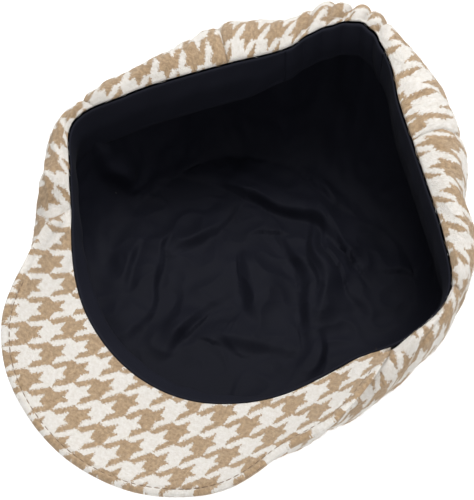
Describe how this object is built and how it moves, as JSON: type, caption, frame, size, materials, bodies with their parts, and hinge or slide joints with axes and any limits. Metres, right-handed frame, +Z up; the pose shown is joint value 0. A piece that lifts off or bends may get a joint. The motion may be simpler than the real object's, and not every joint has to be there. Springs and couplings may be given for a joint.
{
  "type": "newsboy cap",
  "caption": "Soft houndstooth newsboy cap with a panelled crown, a curved peak and a navy lining, lying upside down on its crown.",
  "frame": {"origin": "under the middle of the cap's box, on the surface it lies on", "axes": "+Z up out of the opening, -Y the way the peak points, +X to the right seen from the peak"},
  "size_m": [0.207, 0.2476, 0.1039],
  "materials": {
    "houndstooth_wool": "matt brushed wool, tan and off-white",
    "navy_lining": "soft low sheen",
    "navy_band": "matt twill"
  },
  "bodies": {
    "root": {"crown_panel_1": "houndstooth_wool", "crown_panel_2": "houndstooth_wool", "crown_panel_3": "houndstooth_wool", "crown_panel_4": "houndstooth_wool", "crown_panel_5": "houndstooth_wool", "crown_panel_6": "houndstooth_wool", "crown_panel_7": "houndstooth_wool", "crown_panel_8": "houndstooth_wool", "peak": "houndstooth_wool", "lining": "navy_lining", "sweatband": "navy_band", "elastic_casing": "navy_band"}
  },
  "joints": []
}
